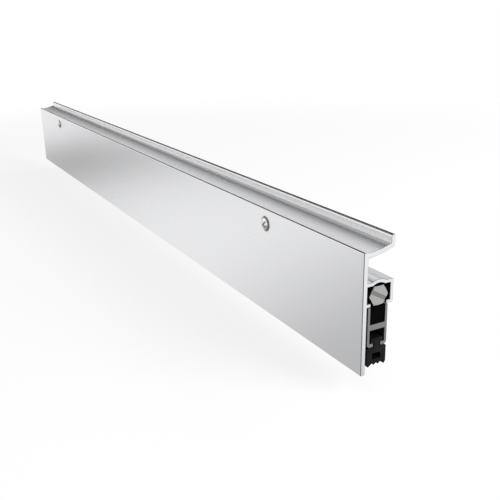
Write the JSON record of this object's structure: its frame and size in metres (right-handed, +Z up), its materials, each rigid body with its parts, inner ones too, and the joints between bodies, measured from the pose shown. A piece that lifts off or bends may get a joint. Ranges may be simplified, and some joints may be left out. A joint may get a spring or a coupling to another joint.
{
  "type": "automatic door bottom seal",
  "caption": "Automatic drop-down door bottom seal: an aluminium profile with a slotted hex push screw, leaf-spring mechanism and a ribbed rubber sole.",
  "frame": {"origin": "at mid-length on the back face that lies on the door, level with the push screw's axis", "axes": "+X along the seal towards the push screw, +Y into the door, +Z up"},
  "size_m": [0.46, 0.0262, 0.0493],
  "materials": {
    "anodised_aluminium": "satin silver anodised",
    "mill_aluminium": "mill, satin",
    "black_rubber": "matte",
    "black_nylon": "matte",
    "zinc_steel": "zinc plated",
    "bright_steel": "bright",
    "spring_steel": "blued spring steel",
    "rivet_aluminium": "plain"
  },
  "bodies": {
    "housing": {"housing_profile": "anodised_aluminium", "fixing_screws": "bright_steel", "plunger_guide": "black_nylon", "far_guide": "black_nylon", "guide_rivets": "rivet_aluminium", "anchor_block_near": "black_nylon", "anchor_block_far": "black_nylon", "anchor_wall_rivets": "rivet_aluminium", "anchor_leaf_rivets": "bright_steel"},
    "slider": {"coupling_block": "zinc_steel", "slider_bar": "zinc_steel", "slider_bar_rivets": "bright_steel", "slider_block_near": "black_nylon", "slider_block_far": "black_nylon", "slider_leaf_rivets": "bright_steel"},
    "adjuster": {"adjusting_screw": "zinc_steel"},
    "carrier": {"leaf_spring_near": "spring_steel", "leaf_spring_far": "spring_steel", "seal_carrier": "mill_aluminium", "carrier_leaf_rivets": "rivet_aluminium", "rubber_seal": "black_rubber"}
  },
  "joints": [
    {"name": "plunger_push", "type": "slide", "parent": "housing", "child": "slider", "axis": [-1, 0, 0], "range_m": [0, 0.0055], "stiffness_N_per_m": 800, "springref_m": -0.01},
    {"name": "adjuster_turn", "type": "hinge", "parent": "slider", "child": "adjuster", "pos_m": [0.2286, -0.00615, 0], "axis": [1, 0, 0], "continuous": true},
    {"name": "seal_drop", "type": "slide", "parent": "housing", "child": "carrier", "axis": [0, 0, -1], "range_m": [0, 0.01], "deforming": ["leaf_spring_near", "leaf_spring_far"]}
  ],
  "couplings": [
    {"joint": "seal_drop", "follows": "plunger_push", "ratio": 1.8182}
  ]
}
